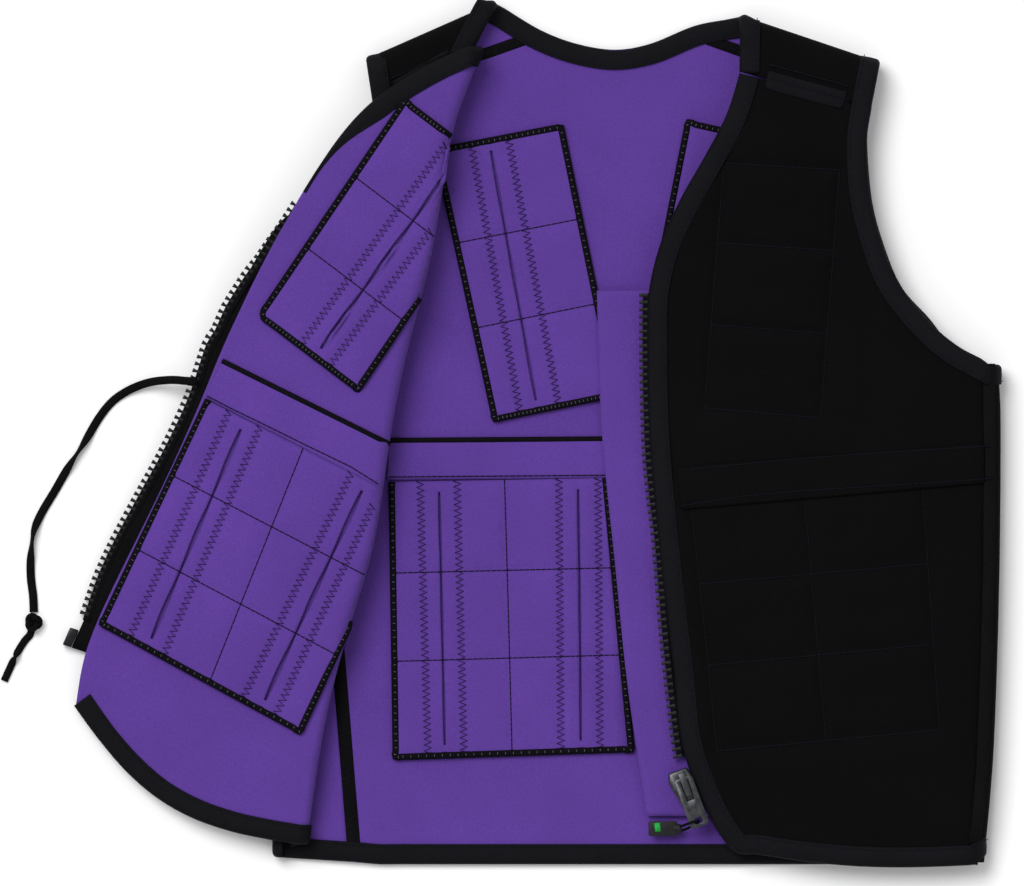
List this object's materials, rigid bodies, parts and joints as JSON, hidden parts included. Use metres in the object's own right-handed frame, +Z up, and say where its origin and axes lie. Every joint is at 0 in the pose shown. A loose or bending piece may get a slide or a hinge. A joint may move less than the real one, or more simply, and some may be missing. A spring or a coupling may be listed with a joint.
{
  "type": "weighted vest",
  "caption": "Sleeveless neoprene vest with cell pockets for weights inside, a front zip, bound edges and a waist drawcord, lying flat with one front folded open.",
  "frame": {"origin": "on the floor, under the middle of the outline of the vest without its cord", "axes": "+X towards the closed front's side, +Y towards the neck, +Z up from the floor the vest lies on"},
  "size_m": [0.6007, 0.5218, 0.0335],
  "materials": {
    "innerCloth": "matt knit face of lined neoprene",
    "outerCloth": "matt knit face of lined neoprene",
    "binding": "matt stretch tape",
    "zipTape": "woven tape",
    "zipTeeth": "moulded, slight gloss",
    "metal": "dark gloss",
    "cord": "braided",
    "tag": "moulded, matt"
  },
  "bodies": {
    "vest": {"armhole_binding_left": "binding", "armhole_binding_right": "binding", "back_panel": "innerCloth", "closed_front": "outerCloth", "drawcord": "cord", "drawcord_knot": "cord", "front_edge_binding": "binding", "hem_binding": "binding", "hem_binding_open": "binding", "lapel_neck_binding": "binding", "neck_binding": "binding", "open_front": "innerCloth", "pocket_back_lower_left": "innerCloth", "pocket_back_lower_right": "innerCloth", "pocket_back_upper_left": "innerCloth", "pocket_back_upper_right": "innerCloth", "pocket_closed_lower": "innerCloth", "pocket_closed_upper": "innerCloth", "pocket_open_lower": "innerCloth", "pocket_open_upper": "innerCloth", "shoulder_left": "outerCloth", "shoulder_right": "outerCloth", "shoulder_tape_left": "binding", "shoulder_tape_right": "binding", "side_panel_left": "outerCloth", "side_panel_right": "outerCloth", "waist_band_closed": "outerCloth", "waist_casing_back": "innerCloth", "waist_casing_open": "innerCloth", "zip_box": "zipTeeth", "zip_flap": "innerCloth", "zip_slider": "metal", "zip_tape_closed": "zipTape", "zip_tape_open": "zipTape", "zip_teeth_closed": "zipTeeth", "zip_teeth_open": "zipTeeth"},
    "pull": {"zip_pull": "metal", "pull_loop": "cord", "pull_tag": "tag"}
  },
  "joints": [
    {"name": "pull_hinge", "type": "hinge", "parent": "vest", "child": "pull", "pos_m": [0.09065, -0.20833, 0.02088], "axis": [-0.939, -0.3439, 0], "range_deg": [0, 150]}
  ]
}
